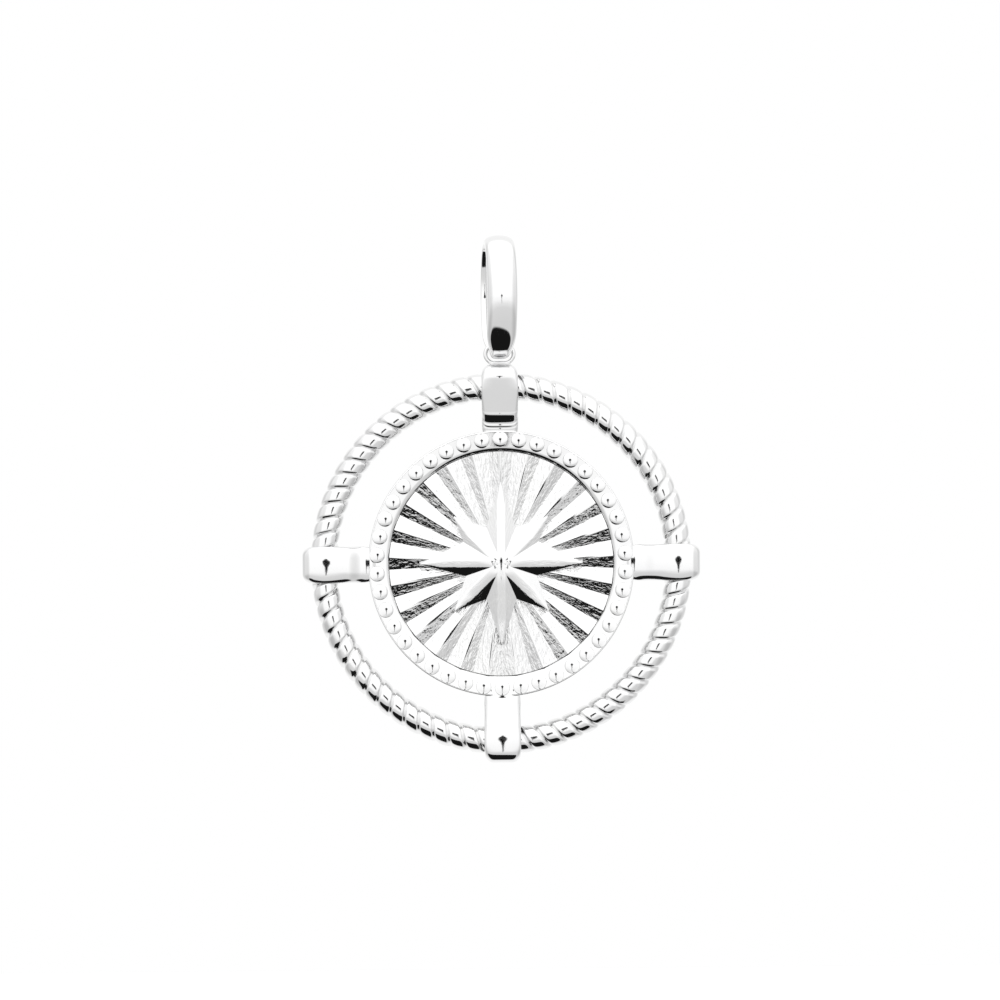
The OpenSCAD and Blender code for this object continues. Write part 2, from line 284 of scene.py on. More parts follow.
def bail_skin(stations, around):
    """The centre line moved out along its normal by the section. Centre line: an ellipse above
    and the curve (y/a)^2 + |z/b|^m = 1 below, which comes to the eyelet more like a drop.
    Section: cosine and sine raised to a power, which squares up an ellipse: just below one on
    the domed outside, lower at the foot, and lowest on the inside, which is nearly flat."""
    t = np.linspace(0, 2 * np.pi, stations, endpoint=False)[:, None]
    a = np.linspace(0, 2 * np.pi, around, endpoint=False)[None, :]
    half_depth, half_h = (BAIL_DEPTH - BAIL_T) / 2, (BAIL_H - BAIL_T) / 2
    from_foot = np.minimum(t, 2 * np.pi - t) / math.radians(BAIL_TAPER)
    narrowing = (1 + np.cos(np.pi * np.minimum(from_foot, 1))) / 2
    width = BAIL_W - (BAIL_W - BAIL_LOW_W) * narrowing
    m = np.where(np.cos(t) > 0, BAIL_POINT, 2.0)
    low = np.sign(np.cos(t)) * np.abs(np.cos(t)) ** (2 / m)
    normal_y = 2 * np.sin(t) / half_depth
    normal_z = -m * np.sign(np.cos(t)) * np.abs(np.cos(t)) ** (2 - 2 / m) / half_h
    length = np.hypot(normal_y, normal_z)
    rise = np.where(np.cos(a) > 0, BAIL_DOME, BAIL_DOME - BAIL_T)
    power = np.where(np.cos(a) > 0, BAIL_OUTSIDE - FOOT_FULLER * narrowing, BAIL_INSIDE)
    out = rise * np.abs(np.cos(a)) ** power + BAIL_T / 2 - BAIL_DOME
    side = width / 2 * np.sign(np.sin(a)) * np.abs(np.sin(a)) ** power
    y = half_depth * np.sin(t) + out * normal_y / length
    z = BAIL_T - BAIL_H / 2 - half_h * low + out * normal_z / length
    side = side - y * math.tan(math.radians(BAIL_SKEW))
    yaw = math.radians(BAIL_YAW)
    x = side * np.cos(yaw) - y * np.sin(yaw)
    y = side * np.sin(yaw) + y * np.cos(yaw)
    return np.stack([x, y, z], axis=-1) * MM


bail = bail_skin(stations=256, around=64)
make_piece("bail_loop", bail, patches(*bail.shape[:2]), "bail",
           "bail", polished)

# %% [markdown]
# ## The eyelet
# A small oval ring of round wire, soldered on the top strap, holds the bail. A torus stretched
# sideways would thicken its wire at the sides, so a round tube is carried along the oval: two
# half circles, pushed apart by the straight stretch between them. Only a thin band of it shows
# in the photograph, so its form is a guess. Its wire looks finer there than the CAD solid's,
# so it is 0.06 mm thinner here, on the same middle line.

# %% Eyelet
EYE_W, EYE_H, EYE_POLISHED = 1.14, 0.64, 0.22


def eyelet_skin(steps, around):
    """Half circles at angle a, each shifted sideways by half the straight stretch, with a
    circle of the wire's radius round every point."""
    a = np.concatenate([np.linspace(-90, 90, steps), np.linspace(90, 270, steps)])
    a = np.radians(a)[:, None]
    shift = np.repeat([1, -1], steps)[:, None] * (EYE_W - EYE_H) / 2
    b = np.linspace(0, 2 * np.pi, around, endpoint=False)[None, :]
    ring_r = (EYE_H + EYE_WIRE) / 2
    r = ring_r + EYE_POLISHED / 2 * np.cos(b)
    mid_y = STRAP_REACH - EYE_SINK + EYE_WIRE / 2 + ring_r
    return hung(shift + r * np.cos(a), mid_y + r * np.sin(a), EYE_POLISHED / 2 * np.sin(b))


eyelet = eyelet_skin(steps=48, around=32)
make_piece("eyelet", eyelet, patches(*eyelet.shape[:2]), "pendant",
           "bezel_frame", polished)

# %% [markdown]
# ## The rope ring
# Two round wires were twisted into a rope, rolled a little flat and bent to a ring. Each
# strand shows as a row of slanting lumps. Two twisted tubes would run through each other and
# hide half of their faces inside, so one skin holds both strands. Its rows follow a strand's
# groove round the wire, so the grooves stay sharp without a fine grid everywhere.

# %% Rope ring
ROPE_RING_R, ROPE_D = 8.91, 1.37
LUMPS, STRANDS = 70, 2
ROPE_ROWS, ROPE_AROUND = 16, 56
CREST_GROOVE, SIDE_GROOVE, LUMP_FLAT, FLANK_BEND = 0.10, 0.17, 0.62, 0.35
CREST_CURVE, SIDE_CURVE = 0.05, 0.4
ROLLED, ROLLED_WIDTH = 0.027, 15


def rope_skin():
    """Across a lump, u runs from -1 to 1 as the sine of an even angle, so rows crowd together
    at the grooves. Half thickness: half the diameter less the groove's depth times a mix of
    u^2, an even curve, and a flank that starts at |u| = LUMP_FLAT, bends over a share
    FLANK_BEND of its width and then falls evenly. The groove's depth and the even curve's part
    grow from the crest to the sides of the rope. Column j stands j / ROPE_AROUND of the
    strands' lumps further back along the ring. Rolling took a share ROLLED off the front and
    the back, over about ROLLED_WIDTH degrees."""
    i = np.arange(LUMPS * ROPE_ROWS)[:, None]
    j = np.arange(ROPE_AROUND)[None, :]
    pitch = 2 * np.pi / LUMPS
    u = np.sin(np.pi * ((i % ROPE_ROWS) / ROPE_ROWS - 0.5))
    around = 2 * np.pi * j / ROPE_AROUND
    to_side = np.cos(around) ** 2
    curve = CREST_CURVE + (SIDE_CURVE - CREST_CURVE) * to_side
    depth = CREST_GROOVE + (SIDE_GROOVE - CREST_GROOVE) * to_side
    past = np.maximum(np.abs(u) - LUMP_FLAT, 0) / (1 - LUMP_FLAT)
    flank = np.where(past < FLANK_BEND, past**2 / (2 * FLANK_BEND), past - FLANK_BEND / 2)
    fall = depth * (curve * u**2 + (1 - curve) * flank / (1 - FLANK_BEND / 2))
    from_crest = np.degrees(np.arccos(np.abs(np.sin(around))))
    rolled = ROLLED * np.exp(-(from_crest / ROLLED_WIDTH) ** 2)
    thick = ROPE_D / 2 * (1 - rolled) - fall
    along = pitch * (i // ROPE_ROWS + u / 2 - STRANDS * j / ROPE_AROUND)
    r = ROPE_RING_R + thick * np.cos(around)
    return hung(r * np.cos(along), r * np.sin(along), thick * np.sin(around))


rope_faces = patches(ROPE_ROWS * LUMPS, ROPE_AROUND, slip=ROPE_ROWS * (LUMPS - STRANDS))
make_piece("rope_wire", rope_skin(), rope_faces, "pendant", "rope_ring",
           wire_silver)

# %% [markdown]
# ## The rim
# The medallion's setting is a turned ring: a face that dips a little inwards, a small bevel
# down to the field, and a ledge that the disc rests on. It is a profile spun round the axis.
# A turned edge is never perfectly sharp. A Bevel modifier would round it too, but here each
# corner of the profile is replaced by a short curve before it is spun, with a holding point
# just before and after it that keeps the flats flat.

# %% Rim
RIM_R, LIP_R, BEVEL_R, RIM_T = 6.68, 5.66, 5.81, 1.2
RIM_FACE, FACE_DROP, BEVEL_DROP = RIM_T / 2, 0.08, 0.08
FIT_GAP, LEDGE_R, DISC_BACK = 0.03, 5.2, -0.41
FLANGE_R, FLANGE_TOP = LIP_R + 0.06, 0.1
EDGE_RADIUS, SHORT_SHARE, HOLDING = 0.08, 0.4, 1.2


def rounded(profile, radius, steps=5):
    """Each corner becomes a quadratic curve: (1-t)^2 start + 2t(1-t) corner + t^2 end, where
    start and end lie `radius` away from the corner, or a share SHORT_SHARE of a side that is
    too short for that. The holding points lie HOLDING times as far away."""
    corner = np.asarray(profile, float)
    before, after = np.roll(corner, 1, axis=0) - corner, np.roll(corner, -1, axis=0) - corner
    len_b = np.linalg.norm(before, axis=1, keepdims=True)
    len_a = np.linalg.norm(after, axis=1, keepdims=True)
    reach = np.minimum(radius, SHORT_SHARE * np.minimum(len_b, len_a))
    back, on = before / len_b * reach, after / len_a * reach
    start, end = corner + back, corner + on
    t = np.linspace(0, 1, steps)[None, :, None]
    curve = ((1 - t) ** 2 * start[:, None] + 2 * t * (1 - t) * corner[:, None]
             + t**2 * end[:, None])
    hold_b, hold_a = corner + back * HOLDING, corner + on * HOLDING
    return np.concatenate([hold_b[:, None], curve, hold_a[:, None]], axis=1).reshape(-1, 2)


def spun(profile, steps):
    """A closed profile of [radius, height] spun round the medallion's axis."""
    angle = np.linspace(0, 2 * np.pi, steps, endpoint=False)[:, None]
    r, height = profile[None, :, 0], profile[None, :, 1]
    return hung(r * np.cos(angle), r * np.sin(angle), height)


rim = spun(rounded([
    [LEDGE_R, -RIM_FACE],
    [RIM_R, -RIM_FACE],
    [RIM_R, RIM_FACE],
    [BEVEL_R, RIM_FACE - FACE_DROP],
    [LIP_R, RIM_FACE - FACE_DROP - BEVEL_DROP],
    [LIP_R, FLANGE_TOP + FIT_GAP],
    [FLANGE_R + FIT_GAP, FLANGE_TOP + FIT_GAP],
    [FLANGE_R + FIT_GAP, DISC_BACK - FIT_GAP],
    [LEDGE_R, DISC_BACK - FIT_GAP],
], EDGE_RADIUS), steps=360)
make_piece("beaded_rim_ring", rim, patches(*rim.shape[:2]), "pendant",
           "bezel_frame", polished)

# %% [markdown]
# ## The beads
# The 42 beads are cast with the rim: low buttons with domed tops, each one polished on its
# own. Cut spheres would catch the light in a smaller spot. So one bead is a profile spun
# round, and a single array operation sets copies of it on the rim.

# %% Beads
BEADS, BEAD_D, BEAD_CIRCLE_R, BEAD_RISE, BEAD_FOOT = 42, 0.77, 6.24, 0.17, -0.12
# The top's slope at a share of the radius: the sum of each factor times the share to a power
BEAD_SLOPES = [(0.15, 1), (0.38, 6)]
TOP_SHARE, EDGE_FOLLOW, BEAD_AROUND = 0.94, 6, 32


def bead_profile(top_steps=14, edge_steps=6):
    """Radius and height from the top's middle to the foot. The top's slope is a sum of powers
    of the radius, so it stays low until near the rim, where a small arc turns it upright."""
    share = np.linspace(0, TOP_SHARE, top_steps)
    radius = BEAD_D / 2
    fall = sum(k * share ** (n + 1) / (n + 1) for k, n in BEAD_SLOPES)
    top = np.stack([radius * share, BEAD_RISE - radius * fall], axis=-1)
    start = math.pi / 2 - math.atan(sum(k * TOP_SHARE**n for k, n in BEAD_SLOPES))
    arc_r = (1 - TOP_SHARE) * radius / (1 - math.cos(start))
    a = np.linspace(start, 0, edge_steps)[1:]
    edge = np.stack([radius - arc_r + arc_r * np.cos(a),
                     top[-1, 1] - arc_r * (math.sin(start) - np.sin(a))], axis=-1)
    return np.concatenate([top, edge, [[radius, BEAD_FOOT], [0, BEAD_FOOT]]])


def bead_row():
    """Copies of the profile spun round every place on the bead circle. Their tops are level,
    and their edges follow the dipping face, by a power of the distance from the middle."""
    profile = bead_profile()[None, :, :, None]
    a = np.linspace(0, 2 * np.pi, BEAD_AROUND, endpoint=False)[None, None, :]
    place = (np.pi / 2 + np.arange(BEADS) * 2 * np.pi / BEADS)[:, None, None]
    x = BEAD_CIRCLE_R * np.cos(place) + profile[:, :, 0] * np.cos(a)
    y = BEAD_CIRCLE_R * np.sin(place) + profile[:, :, 0] * np.sin(a)
    middle = RIM_FACE - FACE_DROP * (RIM_R - BEAD_CIRCLE_R) / (RIM_R - BEVEL_R)
    dip = FACE_DROP * (np.hypot(x, y) - BEAD_CIRCLE_R) / (RIM_R - BEVEL_R)
    follow = np.minimum(profile[:, :, 0] / (BEAD_D / 2), 1) ** EDGE_FOLLOW
    return hung(x, y, middle + profile[:, :, 1] + dip * follow)


bead_points = bead_row()
rings = bead_points.shape[1]
one_bead = patches(rings, BEAD_AROUND, rows_close=False)
first_point = np.arange(BEADS)[:, None, None] * rings * BEAD_AROUND
make_piece("rim_beads", bead_points, (first_point + one_bead[None]).reshape(-1, 4), "pendant",
           "bezel_frame", polished, weld=True)

# %% [markdown]
# ## The straps
# Four cast straps join the rim to the rope and bend round it. Seen from the side each has an
# outline that rises from the rim and rolls over the rope, and a round eye that the rope passes
# through. A box cut by a cylinder would leave flat facets where the real strap is softly
# domed. So the skin goes round the eye; across it, the loop runs over the domed face, down the
# side walls and back through the eye.

# %% Side view of a strap
STRAP_W, STRAP_CREST, STRAP_BEND_R, STRAP_CORNER_R = 1.85, 1.04, 0.6, 0.45
STRAP_ROOT, LOW_RUN, LOW_GAP = 6.3, 0.14, 0.04
# Each strap: its turn, the slope of its face and how much that is domed, in degrees, then the
# height of its root and of its foot, and the radii where the step up from there starts and ends
STRAPS = {
    "right": (0, 1.5, 5, 0.62, 0.62, 6.7, 8.2),
    "top": (90, 10, 0, 0.45, 0.49, 6.98, 7.55),
    "left": (180, 1.5, 5, 0.62, 0.62, 6.8, 7.9),
    "bottom": (270, 1.5, 5, 0.62, 0.62, 6.7, 8.2),
}


def strap_outline(inward, curve, root_h, foot_h, rise_start, rise_end, steps=20):
    """Front half of the side view, from the root outwards: a low and a high smooth step up
    (3t^2 - 2t^3), a gently domed slope to the crest, and an arc that bends over the rope."""
    t = np.linspace(0, 1, steps)
    step_up = 3 * t**2 - 2 * t**3
    a = np.radians(np.linspace(90 + inward - curve, 0, steps))
    bend = np.stack([STRAP_REACH - STRAP_BEND_R + STRAP_BEND_R * np.cos(a),
                     STRAP_CREST - STRAP_BEND_R + STRAP_BEND_R * np.sin(a)], axis=-1)
    run = bend[0, 0] - rise_end
    top = bend[0, 1] - run * math.tan(math.radians(inward))
    low = np.stack([rise_start - LOW_GAP - LOW_RUN * (1 - t),
                    root_h + (foot_h - root_h) * step_up], axis=-1)[::3]
    rise = np.stack([rise_start + (rise_end - rise_start) * t,
                     foot_h + (top - foot_h) * step_up], axis=-1)
    slope = rise[-1] + (bend[0] - rise[-1]) * t[1:-1, None]
    slope[:, 1] += run * math.tan(math.radians(curve)) * t[1:-1] * (1 - t[1:-1])
    root = np.array([[STRAP_ROOT, root_h]])
    return np.concatenate([root, low, rise, slope, bend])


print("points in the top strap's outline:", len(strap_outline(*STRAPS["top"][1:])))

# %% [markdown]
# ## A strap's skin
# The front half of the outline is mirrored for the back. There the strap joins the rim's wall
# a little lower, just under the rim's flat back, which so runs through unbroken, as turned
# work does. The rope curves away from the strap's ends, and the strap's outer corners are
# round.

# %% Straps
EYE_HOLE_R = ROPE_D / 2 + FIT_GAP
STRAP_ACROSS = 0.22
# Behind, how much lower the root is, the radius where that ends, and over how many millimetres
ROOT_SINK, SINK_END_R, SINK_RUN = 0.05, 7.1, 0.4
# Powers that square up the section across the strap: its width and its height
SQUARE_WIDTH, SQUARE_HEIGHT = 0.35, 0.3


def strap_skin(angle, side_view, across=40, through_eye=9):
    """Every outline point P faces the eye's point Q. Across the strap an angle q runs from 0 to
    half a turn: the width is cos q and the share of the way from Q to P is sin q, each raised
    to a small power, which rounds the edges. The height over Q is cut by a share of the
    width squared, which domes the face."""
    front = strap_outline(*side_view)
    back = front * [1, -1]
    back[:, 1] += ROOT_SINK * np.clip((SINK_END_R - back[:, 0]) / SINK_RUN, 0, 1) ** 2
    outline = np.concatenate([front, back[::-1]])
    centre = np.array([ROPE_RING_R, 0.0])
    arm = outline - centre
    eye = centre + arm / np.linalg.norm(arm, axis=1, keepdims=True) * EYE_HOLE_R
    q = np.linspace(0, np.pi, across)
    squared = np.sign(np.cos(q)) * np.abs(np.cos(q)) ** SQUARE_WIDTH
    inner_w = np.linspace(-1, 1, through_eye)[1:-1]
    width = np.concatenate([squared, inner_w])[None, :]
    share = np.concatenate([np.sin(q) ** SQUARE_HEIGHT, np.zeros(len(inner_w))])[None, :]
    radial = eye[:, :1] + (outline[:, :1] - eye[:, :1]) * share
    dome = 1 - STRAP_ACROSS * width**2
    height = eye[:, 1:] + (outline[:, 1:] - eye[:, 1:]) * share * dome
    side = width * STRAP_W / 2
    bow = ROPE_RING_R - np.sqrt(ROPE_RING_R**2 - side**2)
    past = np.maximum(np.abs(side) - (STRAP_W / 2 - STRAP_CORNER_R), 0)
    corner = STRAP_CORNER_R - np.sqrt(np.maximum(STRAP_CORNER_R**2 - past**2, 0))
    outer = np.clip((radial - ROPE_RING_R) / (STRAP_REACH - ROPE_RING_R), 0, 1)
    radial = radial - bow * (1 - share) - corner * outer * share
    along, sideways = np.broadcast_arrays(radial, side)
    x = along * np.cos(angle) - sideways * np.sin(angle)
    y = along * np.sin(angle) + sideways * np.cos(angle)
    return hung(x, y, height)


for place, (strap_turn, *side_view) in STRAPS.items():
    strap = strap_skin(math.radians(strap_turn), side_view)
    make_piece(f"strap_{place}", strap, patches(*strap.shape[:2]), "pendant",
               "bezel_frame", polished)

# %% [markdown]
# ## The fluted field
# Such a disc is struck with its star, then its field is cut into radiating flutes with a
# turning tool, 25 of them here. A Displace modifier on a fine grid would blur the creases, so
# the field's height is a formula of radius and angle. It is a fold: straight from each ridge
# down to the valley and up again. Cutting leaves a narrow flat land along each ridge, and
# every crease is rounded a hair, as metal is.

# %% Folded field
FLUTES, FLUTE_RISE, FLUTE_LEVEL = 25, 0.3, 0.35
# Share of a flute's width that its side away from the top takes, the wider one
FLUTE_SHARE = 0.56
# The land: its largest share of the rise, where it is widest and over what reach, in mm, its
# diameter in degrees, and the share of it that is left across that diameter
FLUTE_LAND, LAND_R, LAND_REACH, LAND_TURN, LAND_LEAST = 0.26, 4.3, 1.2, 40, 0.2
FLUTE_EDGE_R = LIP_R - FIT_GAP
FLUTE_PITCH = 360 / FLUTES
LAST_RIDGE = (FLUTES - 1) / 2 * FLUTE_PITCH
RIDGE_SLOPE = FLUTE_RISE / 2 / FLUTE_EDGE_R
CREASE_MM, CREASE_LEAST_R, CREASE_SAMPLES = 0.006, 0.5, 9


def fold(angle, r):
    """Slope of a ray in the folded field: straight between ridges, at RIDGE_SLOPE, and valleys,
    at the same slope downwards. It is mirrored about the vertical. The land cuts the ridges'
    tops off: widest halfway out, and widest along the diameter at LAND_TURN degrees, by the
    fourth power of the cosine."""
    from_top = np.abs((angle + 90) % 360 - 180)
    place = (from_top / FLUTE_PITCH) % 1
    valley = np.where(from_top > LAST_RIDGE, 0.5, 1 - FLUTE_SHARE)
    wave = np.where(place < valley, 1 - 2 * place / valley,
                    2 * (place - valley) / (1 - valley) - 1)
    land = FLUTE_LAND * np.exp(-((r - LAND_R) / LAND_REACH) ** 2)
    land = land * (LAND_LEAST + (1 - LAND_LEAST) * np.cos(np.radians(angle - LAND_TURN)) ** 4)
    return np.minimum(wave, 1 - land) * RIDGE_SLOPE


def field_height(r, angle):
    """The folded field, with its creases softened by averaging it over a short arc of about
    CREASE_MM to either side."""
    spread = np.degrees(CREASE_MM / np.maximum(r, CREASE_LEAST_R))
    offsets = np.linspace(-1, 1, CREASE_SAMPLES)
    slope = np.mean([fold(angle + spread * o, r) for o in offsets], axis=0)
    return FLUTE_LEVEL + slope * r


print("flutes' pitch:", FLUTE_PITCH, "degrees; ridges at the edge stand at",
      round(FLUTE_LEVEL + FLUTE_RISE / 2, 3), "mm")

# %% [markdown]
# ## The star's facets
# The star has eight arms, each with two flat facets that meet in a ridge. Three points fix
# each facet: the middle, a tip, and the corner between two arms. The corners were measured one
# by one, because they aren't quite even in the photograph.

# %% Star facets
STAR_RISE, STAR_LONG, STAR_SHORT, STAR_ARMS = 0.7, 4.1, 3.35, 8
# Corners between the arms of the right half, from the top: degrees clockwise, radius in mm
STAR_CORNERS = [(22.5, 1.95), (60, 2.2), (109, 1.9), (157, 1.95)]
STAR_FOOT = 0.02
STAR_APEX = FLUTE_LEVEL + STAR_RISE
ARM_PITCH = 360 / STAR_ARMS
ARM = np.arange(STAR_ARMS)
TIP_R = np.where(ARM % 2 == 0, STAR_LONG, STAR_SHORT)


def star_facets():
    """The star's sixteen flat facets as falls per mm to the right and per mm up. Each one holds
    the point of the star, a tip and the corner beside it, both at the height of the ridges."""
    tip_turn = ARM * ARM_PITCH
    turn_right, r_right = np.array(STAR_CORNERS).T
    corner_turn = np.concatenate([turn_right, 360 - turn_right[::-1]])
    corner_r = np.concatenate([r_right, r_right[::-1]])
    turn = np.stack([tip_turn, tip_turn, corner_turn, np.roll(corner_turn, 1)]).reshape(2, -1)
    reach = np.stack([TIP_R, TIP_R, corner_r, np.roll(corner_r, 1)]).reshape(2, -1)
    drop = STAR_APEX - FLUTE_LEVEL - STAR_FOOT - RIDGE_SLOPE * reach
    x, y = reach * np.sin(np.radians(turn)), reach * np.cos(np.radians(turn))
    det = x[0] * y[1] - x[1] * y[0]
    fall_x = (drop[0] * y[1] - drop[1] * y[0]) / det
    fall_y = (x[0] * drop[1] - x[1] * drop[0]) / det
    return fall_x, fall_y, x, y


def star_edge(angle):
    """Radius of the star's straight outline along each ray."""
    _, _, x, y = star_facets()
    along_x, along_y = np.cos(np.radians(angle))[:, None], np.sin(np.radians(angle))[:, None]
    side_x, side_y = x[1] - x[0], y[1] - y[0]
    det = along_x * side_y - along_y * side_x
    reach = (x[0] * side_y - y[0] * side_x) / det
    share = (x[0] * along_y - y[0] * along_x) / det
    inside = (reach > 0) & (share > -1e-9) & (share < 1 + 1e-9)
    return np.where(inside, reach, np.inf).min(axis=1)


print("the star reaches", round(float(star_edge(np.array([90.0]))[0]), 2), "mm upwards")

# %% [markdown]
# ## The polished star
# Polishing wears a struck star: its point is blunt, each ridge carries a narrow rounded land,
# and the ridges run into the point one under the other. A Bevel modifier would give all ridges
# one width. Here the land is part of the height's formula, so it narrows to the tips and
# flattens near the point.

# %% Star's height
ARM_LAND, LAND_DOME, BLUNT, ARMS_SUNK, RIDGE_SOFT = 0.08, 0.8, 0.15, 0.04, 0.01
# Over how many millimetres the land narrows to the tip, and how far the point's middle reaches
TIP_RUN, MIDDLE_R = 1.2, 0.35
# An arm counts where the cosine of the angle to it is above ARM_COSINE, and the two upright
# ones also inside UPRIGHT_R. Elsewhere it is put so low that it never counts.
ARM_COSINE, UPRIGHT_R, NOT_COUNTED = 0.85, 0.5, -9.0


def blend_up(a, b, width):
    """The larger of two heights, with the crease between them rounded over `width`."""
    return (a + b + np.sqrt((a - b) ** 2 + width**2)) / 2


def star_height(r, angle):
    """Falls are counted from the sharp point. An arm's fall is that of its ridge, m, plus the
    fall across it, s, to either side. Along the ridge the point is blunted: m^2 / (2 BLUNT) up
    to BLUNT, and m - BLUNT / 2 beyond. Across it runs a narrow land, ARM_LAND + LAND_DOME s^2,
    with half that dome at the point. The star falls as its highest arm does. The upright
    ridge runs over the point unbroken, and the other arms end ARMS_SUNK lower beside it."""
    fall_x, fall_y, _, _ = star_facets()
    x, y = r * np.cos(np.radians(angle)), r * np.sin(np.radians(angle))
    fall = fall_x * x[..., None] + fall_y * y[..., None]
    ridge = np.abs(fall[..., :STAR_ARMS] + fall[..., STAR_ARMS:]) / 2
    across = np.abs(fall[..., :STAR_ARMS] - fall[..., STAR_ARMS:]) / 2
    narrowing = np.clip((TIP_R - r[..., None]) / TIP_RUN, 0, 1)
    along = np.where(ridge < BLUNT, ridge**2 / (2 * BLUNT), ridge - BLUNT / 2)
    middle = np.exp(-((r[..., None] / MIDDLE_R) ** 2))
    bow = LAND_DOME * (1 - middle / 2)
    land = ARM_LAND * narrowing + bow * across**2
    arm = along + blend_up(across, land, RIDGE_SOFT) - ARM_LAND
    upright = ARM % 4 == 0
    arm = arm + np.where(upright, 0, ARMS_SUNK) * middle
    from_arm = np.radians(90 - angle[..., None] - ARM * ARM_PITCH)
    counts = (np.cos(from_arm) > ARM_COSINE) | (upright & (r[..., None] < UPRIGHT_R))
    best = np.sort(np.where(counts, -arm, NOT_COUNTED), axis=-1)
    total = -blend_up(best[..., -1], best[..., -2], RIDGE_SOFT / 2)
    return STAR_APEX - ARM_LAND - BLUNT / 2 - total


point_h = float(star_height(np.zeros(1), np.zeros(1))[0])
print("the blunted point stands at", round(point_h, 3), "mm")

# %% [markdown]
# ## The disc's grid
# All faces of the disc are flat facets, so a square grid would cut across them and show steps.
# The grid is laid out in polar lines that follow the facets: a column on every ridge and
# valley, with close neighbours where a crease is rounded, and one row exactly where the star
# meets the field.

# %% Columns and rows
# Degrees to either side of a ridge, and of other lines, where columns stand, then the step of
# the fillers, how clear of a line they stay, and the smallest step that is kept
CLOSE, LOOSE = np.linspace(-0.8, 0.8, 17), np.array([-0.6, -0.3, 0, 0.3, 0.6])
FILL_STEP, FILL_CLEAR, LEAST_STEP = 0.6, 0.4, 0.04
STAR_ROWS, FIELD_ROWS, ROW_CROWDING, LAST_SHARE = 27, 13, 1.2, 0.99
WALL_STEP, BACK_CHAMFER = 0.012, 0.03
# Radius and height down the edge: the field's wall, the flange under the lip, and the back
DISC_EDGE = [(FLUTE_EDGE_R, 0.12), (FLUTE_EDGE_R, FLANGE_TOP), (FLANGE_R, FLANGE_TOP),
             (FLANGE_R, DISC_BACK + BACK_CHAMFER), (FLANGE_R - BACK_CHAMFER, DISC_BACK),
             (3, DISC_BACK)]


def disc_columns():
    """Angles of the grid's columns: every ridge and valley with close neighbours on either
    side, and fillers in between."""
    k = np.arange((FLUTES + 1) // 2)
    ridges = k * FLUTE_PITCH
    valleys = (k[:-1] + 1 - FLUTE_SHARE) * FLUTE_PITCH
    corner = np.array(STAR_CORNERS)[:, 0]
    ridge_lines = np.concatenate([ridges, -ridges])[:, None] + CLOSE
    other = np.concatenate([valleys, -valleys, [180], ARM * ARM_PITCH,
                            corner, -corner])[:, None] + LOOSE
    breaks = np.concatenate([ridge_lines.ravel(), other.ravel()]) + 90
    fill = np.arange(0, 360, FILL_STEP)
    away = np.abs((fill[:, None] - breaks + 180) % 360 - 180)
    fill = fill[np.min(away, axis=1) > FILL_CLEAR]
    columns = np.sort(np.concatenate([breaks, fill]) % 360)
    return columns[np.diff(columns, prepend=columns[-1] - 360) > LEAST_STEP]


def disc_rows(angle):
    """Radius and height of every row: the star from its point outwards, the wall at its foot,
    the field, then down the edge and the flange to the back. The star never dips under the
    flutes at its foot."""
    meet = star_edge(angle)[None, :]
    inner = np.linspace(0, 1, STAR_ROWS)[1:-1] ** ROW_CROWDING
    star_r = np.concatenate([inner[:, None] * meet, LAST_SHARE * meet, meet - WALL_STEP])
    outer = np.linspace(0, 1, FIELD_ROWS)[:, None]
    field_r = meet + outer * (FLUTE_EDGE_R - meet)
    star_angle = np.broadcast_to(angle, star_r.shape)
    star_h = np.maximum(star_height(star_r, star_angle), field_height(star_r, star_angle))
    field_h = field_height(field_r, np.broadcast_to(angle, field_r.shape))
    edge_r, edge_h = np.array(DISC_EDGE).T[..., None] * np.ones(len(angle))
    return np.concatenate([star_r, field_r, edge_r]), np.concatenate([star_h, field_h, edge_h])


columns = disc_columns()
disc_r, disc_h = disc_rows(columns)
rows, cols = disc_r.shape
print("the disc's grid:", rows, "rows and", cols, "columns")

# %% [markdown]
# ## Closing the disc
# The rows end in a small ring round the star's point and a wider one on the back. A fan of
# triangles from one middle point closes each. The facets meet in real edges, so the mesh is
# marked sharp where its faces meet at more than 24 degrees.

# %% Disc
SHARP_FROM = 24
column_turn = np.radians(columns)[None, :]
grid = hung(disc_r * np.cos(column_turn), disc_r * np.sin(column_turn), disc_h).reshape(-1, 3)
poles = hung(np.zeros(2), np.zeros(2), np.array([point_h, DISC_BACK]))
ring = np.arange(cols)
front_fan = np.stack([np.full(cols, rows * cols), (ring + 1) % cols, ring], axis=-1)
back_fan = np.stack([np.full(cols, rows * cols + 1), ring, (ring + 1) % cols], axis=-1)
back_fan[:, 1:] += (rows - 1) * cols
disc_faces = [*patches(rows, cols, rows_close=False), *front_fan, *back_fan]
disc = make_piece("fluted_star_disc", np.concatenate([grid, poles]),
                  [f[::-1] for f in disc_faces], "pendant", "star_disc",
                  cut_silver)
disc.data.set_sharp_from_angle(angle=math.radians(SHARP_FROM))

# %% [markdown]
# ## Where the tool cut
# The cut silver needs to know two things at each point: how far round and how far out it lies,
# for the marks, and how strongly the tool marked it. An unwrap by hand would only come near
# that. Both follow from the points themselves, so they are written as a UV map and an
# attribute. The flutes are marked fully, their lands and the back not at all, and the star
# only faintly, since it was polished.

# %% Tool marks
SMOOTH_DEGREES, STAR_MARKS, PLAIN_R = 0.75, 0.16, 0.8


